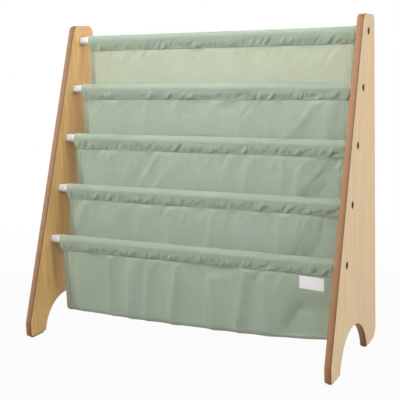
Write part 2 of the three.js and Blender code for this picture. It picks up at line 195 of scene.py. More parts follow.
def plywood_material():
    """Beech-faced plywood, sanded and clear lacquered. The face veneer shows fine upright streaks
    and short pores. The edge shows the plies: end grain drinks the lacquer and goes dark."""
    material, tree = new_material("lacquered plywood")
    place = add(tree, "TexCoord").outputs["Object"]
    x = add(tree, "SeparateXYZ", {0: place}).outputs["X"]
    from_axis = add(tree, "Math", {0: x}, operation="ABSOLUTE")
    board_middle, half_board = (panel_inner + panel_outer) / 2, (panel_outer - panel_inner) / 2
    outer_half = add(tree, "Math", {0: from_axis, 1: board_middle}, operation="GREATER_THAN")
    # Depth through the board, 0 on its left face and 1 on its right face
    side = add(tree, "Math", {0: x}, operation="SIGN")
    off_middle = add(tree, "Math", {0: side, 1: -board_middle, 2: x}, operation="MULTIPLY_ADD")
    depth = add(tree, "MapRange", {0: off_middle, 1: -half_board, 2: half_board})

    # Streaks 2.2 mm wide and 90 mm long. Real ones are 0.5 mm, too fine to show.
    scaled = add(tree, "Mapping", {"Vector": place, "Scale": (30.0, 1 / (2.2 * MM), 1 / (90 * MM))})
    streaks = add(tree, "TexNoise", {"Vector": scaled, "Scale": 1.0, "Detail": 5.0, "Roughness": 0.6})
    # Growth figure: bands about 22 mm apart that wander along the panel
    scaled = add(tree, "Mapping", {"Vector": place, "Scale": (9.0, 1 / (22 * MM), 1 / (260 * MM))})
    figure = add(tree, "TexNoise", {"Vector": scaled, "Scale": 1.0, "Detail": 3.0, "Distortion": 0.6})
    # Pores 0.9 mm wide and 9 mm long, three times the real ones
    scaled = add(tree, "Mapping", {"Vector": place, "Scale": (60.0, 1 / (0.9 * MM), 1 / (9 * MM))})
    pores = add(tree, "TexNoise", {"Vector": scaled, "Scale": 1.0, "Detail": 2.0})
    pore_mask = add(tree, "MapRange", {0: pores, 1: 0.62, 2: 0.74})

    # The veneer inside is a yellower copy of the outside one: its extra yellow is painted shade and painted
    # bounce light from the cloth
    inside_painted_shade = add(tree, "ValToRGB", {0: streaks},
                 [(0.3, linear("#C19151")), (0.5, linear("#D1A669")), (0.72, linear("#DDB981"))])
    outside = add(tree, "ValToRGB", {0: streaks},
                  [(0.3, linear("#C3A277")), (0.5, linear("#CEB38A")), (0.72, linear("#D6BF9B"))])
    veneer = add(tree, "Mix", {0: outer_half, 6: inside_painted_shade, 7: outside}, data_type="RGBA")
    # The figure is strong on the inner faces and faint on the outer ones
    centred = add(tree, "Math", {0: figure, 1: 0.5}, operation="SUBTRACT")
    strength = add(tree, "MapRange", {0: outer_half, 3: 0.6, 4: 0.18})
    figure_tone = add(tree, "Math", {0: centred, 1: strength, 2: 1.0}, operation="MULTIPLY_ADD")
    figured = add(tree, "Mix", {0: 1.0, 6: veneer.outputs[2], 7: figure_tone},
                  data_type="RGBA", blend_type="MULTIPLY")
    pore_share = add(tree, "Math", {0: pore_mask, 1: 0.35}, operation="MULTIPLY")
    pored = add(tree, "Mix", {0: pore_share, 6: figured.outputs[2], 7: linear("#A8814F")}, data_type="RGBA")

    # Nine plies from the left face to the right one, thin at both faces. They darken from left to right,
    # which is painted light and shade across the edge. Each starts with a dark glue line.
    glue = "#5E3D25"
    ply_tones_and_shade = ["#B08252", "#A27446", "#A8784A", "#9A6B3F", "#A17042", "#8F6135", "#916033", "#744C24",
             "#69461F"]
    marks = [0.02, 0.075, 0.2, 0.325, 0.45, 0.575, 0.7, 0.83, 0.95, 0.985]
    stops = []
    for start, end, tone in zip(marks, marks[1:], ply_tones_and_shade):
        stops += [(start, linear(glue)), (start + 0.014, linear(tone)), (end - 0.01, linear(tone))]
    # Ply colours with painted shade, darker towards the right face
    plies = add(tree, "ValToRGB", {0: depth}, stops)
    from_middle = add(tree, "Math", {0: off_middle}, operation="ABSOLUTE")
    on_face = add(tree, "MapRange", {0: from_middle, 1: half_board - 0.07 * MM, 2: half_board - 0.02 * MM})
    # End grain mottle, 1.4 mm
    mottle = add(tree, "TexNoise", {"Vector": place, "Scale": 1 / (1.4 * MM), "Detail": 3.0})
    mottle_tone = add(tree, "MapRange", {0: mottle, 1: 0.3, 2: 0.7, 3: 0.8, 4: 1.16})
    edge = add(tree, "Mix", {0: 1.0, 6: plies, 7: mottle_tone}, data_type="RGBA", blend_type="MULTIPLY")
    colour = add(tree, "Mix", {0: on_face, 6: edge.outputs[2], 7: pored.outputs[2]}, data_type="RGBA")
    gloss = add(tree, "MapRange", {0: streaks, 3: 0.62, 4: 0.46})
    relief = add(tree, "Math", {0: streaks, 1: pore_mask}, operation="SUBTRACT")
    bump = add(tree, "Bump", {"Height": relief, "Strength": 0.25, "Distance": 0.15 * MM})
    shader = add(tree, "BsdfPrincipled", {
        "Base Color": colour.outputs[2], "Roughness": gloss, "Normal": bump,
        "IOR": 1.5, "Coat Weight": 0.12, "Coat Roughness": 0.4})
    add(tree, "OutputMaterial", {"Surface": shader})
    return material


def cloth_material():
    """Plain woven polyester canvas, piece dyed sage green. Thread runs of uneven thickness give
    faint lines both ways, and light comes through a single layer."""
    material, tree = new_material("woven sage canvas")
    place = add(tree, "UVMap", uv_map="cloth_metres")
    # Threads 1.5 mm apart, three times coarser than the real 0.5 mm, so that they show
    turns = add(tree, "VectorMath", {0: place, 1: (math.pi / (1.5 * MM),) * 3}, operation="MULTIPLY")
    axes = add(tree, "SeparateXYZ", {0: turns})
    over = add(tree, "Math", {0: axes.outputs["X"]}, operation="SINE")
    under = add(tree, "Math", {0: axes.outputs["Y"]}, operation="SINE")
    weave = add(tree, "Math", {0: over, 1: under}, operation="MULTIPLY")
    weave_level = add(tree, "MapRange", {0: weave, 1: -1.0, 2: 1.0})
    # Uneven threads: 2 mm across and 45 mm long, along the cloth and across it
    scaled = add(tree, "Mapping", {"Vector": place, "Scale": (1 / (2 * MM), 1 / (45 * MM), 1.0)})
    warp = add(tree, "TexNoise", {"Vector": scaled, "Scale": 1.0, "Detail": 3.0, "Roughness": 0.6})
    scaled = add(tree, "Mapping", {"Vector": place, "Location": (3.1, 7.7, 0.0),
                                   "Scale": (1 / (45 * MM), 1 / (2 * MM), 1.0)})
    weft = add(tree, "TexNoise", {"Vector": scaled, "Scale": 1.0, "Detail": 3.0, "Roughness": 0.6})
    threads = add(tree, "Math", {0: warp, 1: weft}, operation="ADD")
    # Dye taken up unevenly, in clouds of about 60 mm
    clouds = add(tree, "TexNoise", {"Vector": place, "Scale": 1 / (60 * MM), "Detail": 2.0})
    clouded = add(tree, "Math", {0: clouds, 1: 0.6, 2: threads}, operation="MULTIPLY_ADD")
    woven = add(tree, "Math", {0: weave_level, 1: 0.1, 2: clouded}, operation="MULTIPLY_ADD")
    spread = add(tree, "MapRange", {0: woven, 1: 0.9, 2: 1.85})
    colour = add(tree, "ValToRGB", {0: spread},
                 [(0.0, linear("#A0AF9C")), (0.55, linear("#A8B6A3")), (1.0, linear("#B0BDAA"))])
    relief = add(tree, "Math", {0: threads, 1: 0.5, 2: weave_level}, operation="MULTIPLY_ADD")
    bump = add(tree, "Bump", {"Height": relief, "Strength": 0.35, "Distance": 0.2 * MM})
    shader = add(tree, "BsdfPrincipled", {
        "Base Color": colour, "Roughness": 0.82, "Normal": bump, "IOR": 1.45,
        "Subsurface Weight": 0.8, "Subsurface Radius": (1.9, 1.5, 1.35), "Subsurface Scale": 1.6 * MM,
        "Sheen Weight": 0.12, "Sheen Roughness": 0.5})
    add(tree, "OutputMaterial", {"Surface": shader})
    return material


def plain_material(name, light, dark, spot, roughness, relief, values=None, stretch=(1.0, 1.0, 1.0)):
    """A finish whose tone and surface vary with a noise of the given spot size, in metres. values
    holds what else the shader's sockets are set to."""
    material, tree = new_material(name)
    place = add(tree, "TexCoord").outputs["Object"]
    scaled = add(tree, "Mapping", {"Vector": place, "Scale": [s / spot for s in stretch]})
    noise = add(tree, "TexNoise", {"Vector": scaled, "Scale": 1.0, "Detail": 4.0})
    colour = add(tree, "ValToRGB", {0: noise}, [(0.35, linear(dark)), (0.65, linear(light))])
    rough = add(tree, "MapRange", {0: noise, 3: roughness + 0.08, 4: roughness - 0.08})
    bump = add(tree, "Bump", {"Height": noise, "Strength": 0.4, "Distance": relief})
    shader = add(tree, "BsdfPrincipled",
                 {"Base Color": colour, "Roughness": rough, "Normal": bump, **(values or {})})
    add(tree, "OutputMaterial", {"Surface": shader})
    return material


plywood = plywood_material()
canvas = cloth_material()
# White powder coat on steel tube: a thick skin with a faint orange peel, drawn 1.5 mm
powder_coat = plain_material("white powder coat", "#EFF0F2", "#E6E8EB", 1.5 * MM, 0.38, 0.05 * MM)
# Turned steel bolt with a dark bronze plating: nearly black, with little shine
bolt_steel = plain_material("blacked steel", "#2C2017", "#150F09", 1.2 * MM, 0.6, 0.03 * MM,
                            {"Specular IOR Level": 0.2})
# Zinc-plated steel insert, turned
insert_steel = plain_material("zinc plated steel", "#C6C8CA", "#A8ABAE", 0.8 * MM, 0.32, 0.02 * MM,
                              {"Metallic": 1.0})
# Needled wool felt: matted fibres about 1 mm long
felt = plain_material("needled felt", "#978C7A", "#766C5D", 0.9 * MM, 0.95, 0.3 * MM, {"Sheen Weight": 0.3})
# White woven polyester tape
tape = plain_material("woven white tape", "#FAFBFB", "#F1F2F3", 0.8 * MM, 0.6, 0.06 * MM,
                      {"Subsurface Weight": 0.2, "Subsurface Scale": 0.5 * MM}, (1.0, 1.0, 4.0))
# Spun polyester thread, dyed with the cloth
thread = plain_material("sage thread", "#A3B39B", "#8C9C85", 0.7 * MM, 0.6, 0.05 * MM, {"Sheen Weight": 0.2})
white_thread = plain_material("white thread", "#F2F2EE", "#DFDFD9", 0.7 * MM, 0.55, 0.05 * MM)


# Meshes from grids

def grid_faces(rows, columns, wrap_rows=False, wrap_columns=False):
    """Quads that join neighbours of a grid whose points are numbered row by row."""
    i = np.arange(rows if wrap_rows else rows - 1)[:, None]
    j = np.arange(columns if wrap_columns else columns - 1)[None, :]
    ahead_i, ahead_j = (i + 1) % rows, (j + 1) % columns
    corners = [i * columns + j, ahead_i * columns + j, ahead_i * columns + ahead_j, i * columns + ahead_j]
    return np.stack(corners, axis=-1).reshape(-1, 4).tolist()


def points_of(*coordinates):
    """An array of points from one array for each coordinate, which may lack an axis of the grid."""
    return np.stack(np.broadcast_arrays(*coordinates), axis=-1)


def closed_rings(rings, start, end):
    """Points and faces of a row of rings that a fan closes to a pole at each end."""
    count, around = rings.shape[:2]
    points = np.concatenate([rings.reshape(-1, 3), [start], [end]])
    pole, last = count * around, (count - 1) * around
    faces = grid_faces(count, around, wrap_columns=True)
    faces += [[pole, (n + 1) % around, n] for n in range(around)]
    faces += [[pole + 1, last + n, last + (n + 1) % around] for n in range(around)]
    return points, faces


def make_piece(name, points, faces, material, replaced=(), uv=None):
    """A closed smooth piece on the body. points is (n, 3), faces lists of indices, uv (n, 2) in
    metres. The faces are turned outwards."""
    mesh = bpy.data.meshes.new(name)
    mesh.from_pydata(points.reshape(-1, 3), [], faces)
    if uv is not None:
        layer = mesh.uv_layers.new(name="cloth_metres")
        index = np.zeros(len(mesh.loops), dtype=np.int32)
        mesh.loops.foreach_get("vertex_index", index)
        layer.data.foreach_set("uv", uv.reshape(-1, 2)[index].astype(np.float32).ravel())
    shape = bmesh.new()
    shape.from_mesh(mesh)
    bmesh.ops.recalc_face_normals(shape, faces=shape.faces)
    shape.to_mesh(mesh)
    shape.free()
    mesh.shade_smooth()
    mesh.materials.append(material)
    mesh.update()
    return dress(bpy.data.objects.new(name, mesh), replaced)


def dress(piece, replaced=()):
    """Links a piece, lets it ride on the body, and hides the nodes it stands for."""
    scene.collection.objects.link(piece)
    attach(piece, BODY)
    if replaced:
        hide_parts(*replaced)
    return piece


def smoothstep(low, high, value):
    """0 below low, 1 above high and 3t^2 - 2t^3 between them."""
    t = np.clip((value - low) / (high - low), 0.0, 1.0)
    return t * t * (3.0 - 2.0 * t)


def unit(vectors):
    """Vectors scaled to length 1."""
    return vectors / np.maximum(np.linalg.norm(vectors, axis=-1, keepdims=True), 1e-12)


def normals_of(grid):
    """Unit normals of a grid: the cross product of its row and column differences."""
    return unit(np.cross(np.gradient(grid, axis=0), np.gradient(grid, axis=1)))


def run_lengths(grid, axis):
    """Length of the way along one axis of a grid, from its start to each point."""
    steps = np.linalg.norm(np.diff(grid, axis=axis), axis=-1)
    start = np.zeros_like(np.take(steps, [0], axis=axis))
    return np.concatenate([start, np.cumsum(steps, axis=axis)], axis=axis)


# Cloth

def creases(across, down, strokes):
    """Sum of creases. A stroke (x0, d0, x1, d1, left, right, height) is a rounded ridge along its own
    line: height * exp(1.5 - 1.5 sqrt(1 + (side / width)^2)), whose width is left or right by side,
    times a swell that starts at 0.55, is 1 from a third of its length on, and fades at its end."""
    total = np.zeros(np.broadcast(across, down).shape)
    for x0, d0, x1, d1, left, right, height in strokes:
        run_x, run_d = x1 - x0, d1 - d0
        length = math.hypot(run_x, run_d)
        along = ((across - x0) * run_x + (down - d0) * run_d) / length**2
        side = ((across - x0) * run_d - (down - d0) * run_x) / length
        width = np.where(side < 0.0, left, right)
        swell = (0.55 + 0.45 * smoothstep(-0.05, 0.33, along)) * smoothstep(-0.3, 0.05, along)
        swell = swell * (1.0 - smoothstep(0.6, 1.0, along))
        total += height * np.exp(1.5 - 1.5 * np.sqrt(1.0 + (side / width) ** 2)) * swell
    return total


def ripples(across, down, index, seed, waves, shortest, longest, lean, height):
    """Slight unevenness: a sum of sine waves of random length and phase, whose crests lean by about
    the given slope of x over drop."""
    random = np.random.default_rng(seed + index)
    total = np.zeros(np.broadcast(across, down).shape)
    for _ in range(waves):
        length = random.uniform(shortest, longest)
        slope = lean + random.normal(0.0, LEAN_SPREAD)
        phase = random.uniform(0.0, 2.0 * math.pi)
        total += np.sin(2.0 * math.pi * (across + slope * down) / length + phase)
    return height * total / math.sqrt(waves)


def seam_creases(index, seed, spacing, reach, width, height, lean):
    """Random short creases that start at a seam: x places about spacing apart, each leaning left by
    lean times its reach, as the sewing pulls them. Two in three are grooves, the rest ridges."""
    random = np.random.default_rng(seed + index)
    strokes = []
    x = cloth_left + random.uniform(0.3, 1.0) * spacing
    while x < cloth_right:
        long = reach * random.uniform(0.5, 1.3)
        wide = width * random.uniform(0.7, 1.4)
        strokes.append((x, 0.0, x - lean * long * random.uniform(0.2, 1.6), long, wide, 1.5 * wide,
                        height * random.choice((-1, -1, 1)) * random.uniform(0.45, 1.0)))
        x += spacing * random.uniform(0.45, 1.5)
    return strokes


def seam_wander(index, x):
    """How far the seam below a rod strays up and down: a long sine wave and a weaker short one."""
    strong = np.sin(x / SEAM_LONG_WAVE + 2.1 * index)
    weak = 0.6 * np.sin(x / SEAM_SHORT_WAVE + 1.3 * index)
    return SEAM_WANDER * (strong + weak) / 1.6


def across_cloth(count):
    """Places of a grid's columns across the cloth: evenly spaced, and closer in the band at each side."""
    width = cloth_right - cloth_left
    steps = np.cumsum([0.0, FINE_RATIO * FINE_BAND, width - 2.0 * FINE_BAND, FINE_RATIO * FINE_BAND])
    places = [0.0, FINE_BAND, width - FINE_BAND, width]
    return cloth_left + np.interp(np.linspace(0.0, steps[-1], count), steps, places)[:, None]


def from_side(x):
    """Distance from the nearer side edge of the cloth."""
    return np.minimum(x - cloth_left, cloth_right - x)


def half_thickness(x):
    """Half the cloth's thickness: one layer's, and more in the hems at both sides."""
    single = smoothstep(HEM_WIDTH - HEM_STEP, HEM_WIDTH + HEM_STEP, from_side(x))
    return CLOTH_HALF + HEM_EXTRA * (1.0 - single)


def cloth_shell(name, middle, half, material, replaced, uv):
    """A closed sheet of cloth round a middle surface, whose rows run along X and columns along the
    cloth. Its faces lie half a thickness along the normals, and its side edges are rounded:
    middle + half * (cos a * normal + sin a * outward), a from 0 to 180 degrees."""
    normal = normals_of(middle)
    angles = [math.pi * (step + 1) / (RIM_STEPS + 1) for step in range(RIM_STEPS)]

    def rim(row, beside, sign):
        """Points round the side edge at a row: the half circle of the formula above."""
        outward = unit(middle[row] - middle[beside])
        thick = half[row][:, None]
        return [middle[row] + thick * (sign * math.cos(a) * normal[row] + math.sin(a) * outward)
                for a in angles]

    outer = middle + half[..., None] * normal
    inner = middle - half[..., None] * normal
    loop = np.concatenate([outer, rim(-1, -2, 1.0), inner[::-1], rim(0, 1, -1.0)])
    loop_uv = np.concatenate([uv, [uv[-1]] * RIM_STEPS, uv[::-1], [uv[0]] * RIM_STEPS])
    rings, columns = loop.shape[:2]
    faces = grid_faces(rings, columns, wrap_rows=True)
    rows = middle.shape[0]
    back = 2 * rows + RIM_STEPS - 1
    for column in (0, columns - 1):
        at = (np.arange(rings) * columns + column).tolist()
        faces += [[at[i], at[back - i], at[back - i - 1], at[i + 1]] for i in range(rows - 1)]
        faces += [at[rows - 1:rows + RIM_STEPS + 1], at[back:] + at[:1]]
    piece = make_piece(name, loop, faces, material, replaced, loop_uv)
    return piece, outer, inner, normal


def casing_section(v):
    """Section of a rod casing: v runs from the front seam over the rod to the rear seam. Two straight
    flanks touch an arc of the rod's radius and the cloth's slack, and each flank bellies by a sine.
    Next to the seam a flank lies flat: it leaves by s - f (1 - exp(-s / f)), f its flat share."""
    radius = rod_radius + CASING_LOOSE
    reach = math.hypot(CASING_DROP, CASING_LIP)
    touch = math.atan2(-CASING_DROP, CASING_LIP) + math.acos(radius / reach)
    flank = math.sqrt(reach**2 - radius**2)
    arc = math.pi - 2.0 * touch
    total = 2.0 * flank + radius * arc
    along = v * total
    angle = math.pi - touch - np.clip((along - flank) / radius, 0.0, arc)
    y, z = radius * np.cos(angle), radius * np.sin(angle)
    foot_y, foot_z = radius * math.cos(touch), radius * math.sin(touch)
    for share, side in ((along / flank, -1.0), ((total - along) / flank, 1.0)):
        on = share < 1.0
        bow = CASING_BOW * np.sin(math.pi * np.clip(share, 0.0, 1.0))
        away = (share - SEAM_FLANGE * (1.0 - np.exp(-share / SEAM_FLANGE))) / (1.0 - SEAM_FLANGE)
        straight_y = CASING_LIP + away * (foot_y - CASING_LIP)
        straight_z = -CASING_DROP + share * (foot_z + CASING_DROP)
        y = np.where(on, side * (straight_y + bow * math.cos(touch)), y)
        z = np.where(on, straight_z + bow * math.sin(touch), z)
    return y, z, along, total


# Puckers of a casing's front and rear and of a pocket's rear wall and front wall: seed, spacing,
# reach, width, height and lean
CASING_FRONT_PUCKERS = (20, 10 * MM, 21 * MM, 1.5 * MM, 2.6 * MM, 0.6)
CASING_REAR_PUCKERS = (40, 10 * MM, 20 * MM, 1.5 * MM, 2.2 * MM, 0.5)
REAR_WALL_PUCKERS = (80, 14 * MM, 42 * MM, 3.4 * MM, 1.9 * MM, 0.6)
FRONT_WALL_PUCKERS = (120, 14 * MM, 36 * MM, 3.4 * MM, 1.8 * MM, 0.5)

# Ripples of the same cloth: seed, number of waves, shortest and longest one, lean and height
CASING_RIPPLES = (60, 6, 28 * MM, 75 * MM, 0.5, 0.12 * MM)
REAR_WALL_RIPPLES = (100, 7, 45 * MM, 120 * MM, 0.35, 0.35 * MM)
FRONT_WALL_RIPPLES = (140, 7, 45 * MM, 110 * MM, 0.12, 0.3 * MM)

# Creases that the pull at the right-hand end makes in each casing's front: x and height above the
# seam where each starts and ends, width to the left and the right, and height, in millimetres
CASING_END_CREASES = [
    [(236, 1, 254, 20, 3, 3.5, -1.2), (254, 1, 274, 19, 3, 3.5, -1.3),
     (200, 1, 208, 16, 3, 3.5, -0.8), (244, 3, 262, 20, 3.5, 4.2, 0.7)],
    [(214, 0, 238, 17, 3, 3.5, -1.7), (250, 0, 274, 18, 3, 3.5, -2),
     (232, 3, 250, 16, 3.5, 4.2, 0.9)],
    [(262, 0, 284, 18, 3, 3.5, -1.9), (240, 0, 254, 14, 2.8, 3.4, -0.9),
     (272, 2, 288, 16, 3.2, 3.9, 0.8)],
    [(228, 0, 264, 13, 3.5, 4.2, -1.7), (262, 0, 284, 17, 3, 3.5, -1.9),
     (246, 4, 270, 16, 3.5, 4.2, 0.8)],
    [(236, 0, 264, 10, 3.2, 3.9, -1.4), (262, 0, 284, 11, 3, 3.5, -1.3)],
]


def metres(strokes):
    """Strokes given in millimetres, in metres."""
    return [tuple(value * MM for value in stroke) for stroke in strokes]


def make_casing(index):
    """Cloth sewn round one rod: the section above, carried along X, with puckers along its seam."""
    y, z, along, total = casing_section(np.linspace(0.0, 1.0, CASING_ROWS)[None, :])
    x, y, z, along = np.broadcast_arrays(across_cloth(CASING_COLUMNS), y, z, along)
    rise = np.minimum(along, total - along)
    # The front puckers lean right.
    puckers = [(x0, d0, 2.0 * x0 - x1, d1, *rest) for x0, d0, x1, d1, *rest
               in seam_creases(index, *CASING_FRONT_PUCKERS)]
    front = creases(x, rise, puckers) + creases(x, rise, metres(CASING_END_CREASES[index]))
    rear = creases(x, rise, seam_creases(index, *CASING_REAR_PUCKERS))
    # They start above the stitches and end below the rod.
    held = smoothstep(*PUCKER_START, rise) * (1.0 - smoothstep(*PUCKER_END, rise))
    height = np.where(along < total / 2, front, rear) * held + ripples(x, along, index, *CASING_RIPPLES)
    # A groove never reaches the other flank or the rod: it eases to its limit by a tanh.
    flank = math.sqrt(CASING_DROP**2 - rod_radius**2)
    to_rod = CASING_LOOSE - CLOTH_HALF + np.maximum(flank - rise, 0.0) ** 2 / (2 * rod_radius)
    to_flank = np.maximum(abs(y) - CLOTH_HALF - FLANK_GAP, LEAST_ROOM)
    limit = GROOVE_SHARE * np.minimum(to_flank, to_rod)
    height = np.where(height < 0.0, limit * np.tanh(height / limit), height)
    points = points_of(x, y, z)
    points = points + height[..., None] * normals_of(points)
    points[..., 1] += rod_axes[index][0]
    points[..., 2] += rod_axes[index][1] + seam_wander(index, x) * np.clip(-z / CASING_DROP, 0.0, 1.0) ** 2
    uv = points_of(x - cloth_left, along)
    name = f"cloth_casing_{index + 1}"
    shell = cloth_shell(name, points, half_thickness(x), canvas,
                        [f"rod_casing_{index + 1}"], uv)
    return (*shell, total)


# Folds of each pocket's rear wall, and of the front wall of the lowest pocket and of the others: x and
# drop below the seam where each starts and ends, width to the left and the right, and height towards
# the viewer, in millimetres. Most are ridges, steep on their left and gentle on their right. The
# broad ones at the right-hand end are grooves.
REAR_FOLDS = [
    [(12, 2, -40, 150, 9.6, 11.5, 1.9), (50, 15, 32, 150, 9.6, 10.3, 1.6),
     (130, 5, 118, 150, 9.6, 10.3, 1.9), (205, 5, 202, 150, 9.6, 10.3, 1.9),
     (-155, 2, -175, 150, 9.6, 11.5, 1.9), (-60, 6, -80, 150, 14.4, 16.1, 1.6)],
    [(-195, 0, -219, 150, 8, 10.3, 2.9), (-124, 0, -143, 150, 8, 10.3, 2.9),
     (23, 8, 24, 150, 7.2, 13.8, 3.3), (75, 0, 65, 150, 6.4, 11.5, 3.3),
     (124, 2, 136, 140, 7.2, 11.5, 3.2), (167, 4, 153, 150, 7.2, 11.5, 3.3),
     (226, 4, 120, 120, 6.4, 6.9, 2.6), (242, 3, 230, 150, 7.2, 10.3, 3.9),
     (-50, 4, -62, 150, 11.2, 13.8, 2.3), (-240, 2, -250, 120, 8, 10.3, 2)],
    [(-130, 0, -208, 150, 6.4, 10.3, 3.3), (-82, 0, -164, 120, 6.4, 10.3, 3.3),
     (-40, 0, -129, 120, 5.6, 13.8, 3.9), (14, 4, -20, 150, 9.6, 13.8, 2.6),
     (68, 0, 20, 150, 6.4, 13.8, 4.2), (108, 0, 75, 140, 8, 10.3, 3.2),
     (173, 0, 150, 150, 8, 9.2, 3.3), (203, 0, 180, 150, 8, 9.2, 3.2),
     (262, 0, 175, 160, 11, 26, -7), (-205, 4, -225, 150, 9.6, 13.8, 2.6)],
    [(-226, 0, -262, 70, 8, 9.2, 3.2), (-180, 0, -196, 150, 11.2, 13.8, 2.3),
     (-101, 0, -131, 150, 6.4, 13.8, 3.9), (-42, 0, -62, 150, 8, 10.3, 3.6),
     (2, 4, -12, 150, 11.2, 13.8, 2.3), (46, 0, 20, 150, 8, 10.3, 3.6),
     (110, 0, 100, 150, 11.2, 12.6, 2.6), (177, 0, 165, 150, 8, 10.3, 3.6),
     (257, 0, 168, 150, 11, 28, -7)],
]
LOWEST_FRONT_FOLDS = [
    (-236, 4, -240, 150, 7.2, 11.5, 3.6), (-163, 0, -172, 150, 6, 8.8, 5.4),
    (-118, 12, -129, 150, 7.2, 15, 9.5), (-75, 4, -95, 150, 5.5, 10, 7),
    (-20, 10, -38, 150, 9.5, 11, 9.5), (49, 35, 49, 150, 6.4, 12, 7.5),
    (118, 2, 94, 150, 6.8, 11, 9.5), (160, 10, 150, 150, 9.6, 12, 4.2),
    (252, 4, 172, 150, 12, 28, -10),
]
OTHER_FRONT_FOLDS = [
    (-180, 4, -190, 150, 11.2, 15.4, 3.2), (-70, 6, -84, 150, 11.2, 15.4, 3.6),
    (30, 6, 20, 150, 11.2, 15.4, 3.2), (120, 4, 104, 150, 9.8, 13.2, 3.9),
    (220, 6, 190, 150, 9.8, 15.4, 4.9),
]


def bend_height(index, x):
    """Height of the bend's axis: below the front rod by the pocket's drop, less a parabola of sag,
    plus a square that climbs to the right and a smooth step at the right-hand end."""
    share = (x - cloth_left) / (cloth_right - cloth_left)
    sag = POCKET_SAG * (1.0 - (2.0 * share - 1.0) ** 2)
    lift = POCKET_RISE * share**2 + POCKET_HITCH * smoothstep(HITCH_START, 1.0, share)
    return rod_axes[index + 1][1] - POCKET_DROP + POCKET_BEND - sag + lift


def wall_top(index, x):
    """Height at which a pocket wall starts, tucked in between the layers of a rod's casing."""
    return rod_axes[index][1] - CASING_DROP + WALL_TUCK + seam_wander(index, x)


def pocket_middle(index, x, v):
    """Middle surface of a pocket, before its normals: v runs from the rear seam down, round the bend
    and up to the front seam. Each wall's distance from the pocket's middle falls from half the
    distance of the seams to the bend's radius by a parabola, less the folds. The bend is half a
    circle."""
    rear_y, front_y = rod_axes[index][0], rod_axes[index + 1][0]
    middle_y = (rear_y + front_y) / 2.0
    seam_half = (rear_y - front_y) / 2.0 - WALL_LIP
    bend_z = bend_height(index, x)
    rear_top, front_top = wall_top(index, x), wall_top(index + 1, x)
    rear_down = np.clip(v / BEND_START, 0.0, 1.0)
    front_down = np.clip((1.0 - v) / (1.0 - BEND_END), 0.0, 1.0)
    turn = np.clip((v - BEND_START) / (BEND_END - BEND_START), 0.0, 1.0)
    rear_drop = rear_down * (rear_top - bend_z)
    front_drop = front_down * (front_top - bend_z)

    lowest = index == POCKET_COUNT - 1
    rear_fold = creases(x, rear_drop, metres(REAR_FOLDS[index]))
    rear_fold += creases(x, rear_drop, seam_creases(index, *REAR_WALL_PUCKERS))
    rear_fold += ripples(x, rear_drop, index, *REAR_WALL_RIPPLES)
    front_fold = creases(x, front_drop, metres(LOWEST_FRONT_FOLDS if lowest else OTHER_FRONT_FOLDS))
    front_fold += creases(x, front_drop, seam_creases(index, *FRONT_WALL_PUCKERS))
    if lowest:
        # The label's stiff tape holds the cloth behind it flat.
        low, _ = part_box("sewn_label")
        beside = smoothstep(low.x - CALM_SIDE[0], low.x - CALM_SIDE[1], x)
        below = smoothstep(low.z - CALM_BELOW[0], low.z - CALM_BELOW[1], front_top - front_drop)
        front_fold = front_fold * (1.0 - beside * below)
    front_fold += ripples(x, front_drop, index, *FRONT_WALL_RIPPLES)
    # A fold towards the viewer is into the pocket on the rear wall and out of it on the front wall.
    over = smoothstep(0.0, 1.0, turn)
    inset = (1.0 - over) * rear_fold * smoothstep(WALL_TUCK, FOLD_START, rear_drop)
    inset -= over * front_fold * smoothstep(WALL_TUCK, FOLD_START, front_drop)
    # The free side edges bend back, away from the viewer, and the hem's stitches pull a groove.
    curl = HEM_CURL * np.clip(1.0 - from_side(x) / HEM_CURL_REACH, 0.0, 1.0) ** 2
    groove = (from_side(x) - HEM_WIDTH - HEM_PULL_OFFSET) / HEM_PULL_REACH
    curl = curl + HEM_PULL * np.exp(-groove**2)
    inset -= (1.0 - over) * curl * smoothstep(0.0, HEM_CURL_START, rear_drop)
    inset += over * curl * smoothstep(0.0, HEM_CURL_START, front_drop)
    # Folds fade where the cloth turns under, so that the bottom edge stays even.
    inset = inset * (1.0 - FOLD_FADE * np.sin(math.pi * turn))

    # The half circle's cosine is 1 on the rear wall and -1 on the front wall, and its sine is 0.
    on_front = front_down < 1.0
    down = np.where(on_front, front_down, rear_down)
    half = seam_half + (POCKET_BEND - seam_half) * (1.0 - (1.0 - down) ** 2) - inset
    y = half * np.cos(math.pi * turn)
    z = np.where(on_front, front_top - front_drop, rear_top - rear_drop) - half * np.sin(math.pi * turn)
    return points_of(x, middle_y + y, z)


def pocket_shares():
    """Shares down a pocket's cloth that are evenly spaced by length."""
    marks = np.cumsum([0.0, REAR_WALL_LENGTH, math.pi * POCKET_BEND, FRONT_WALL_LENGTH])
    steps = np.linspace(0.0, marks[-1], POCKET_ROWS)
    return np.interp(steps, marks, [0.0, BEND_START, BEND_END, 1.0])[None, :]


def make_pocket(index):
    """Cloth of one pocket, from the rear rod's seam to the front rod's."""
    points = pocket_middle(index, across_cloth(POCKET_COLUMNS), pocket_shares())
    x = points[..., 0]
    uv = points_of(x - cloth_left, run_lengths(points, 1))
    name = f"cloth_pocket_{index + 1}"
    shell = cloth_shell(name, points, half_thickness(x), canvas, [f"pocket_{index + 1}"], uv)
    return (*shell, float(uv[..., 1].max(axis=1).mean()))


def sampled(values, run, at):
    """Points or normals of a line, read at the given lengths along it."""
    return points_of(*(np.interp(at, run, column) for column in values.T))


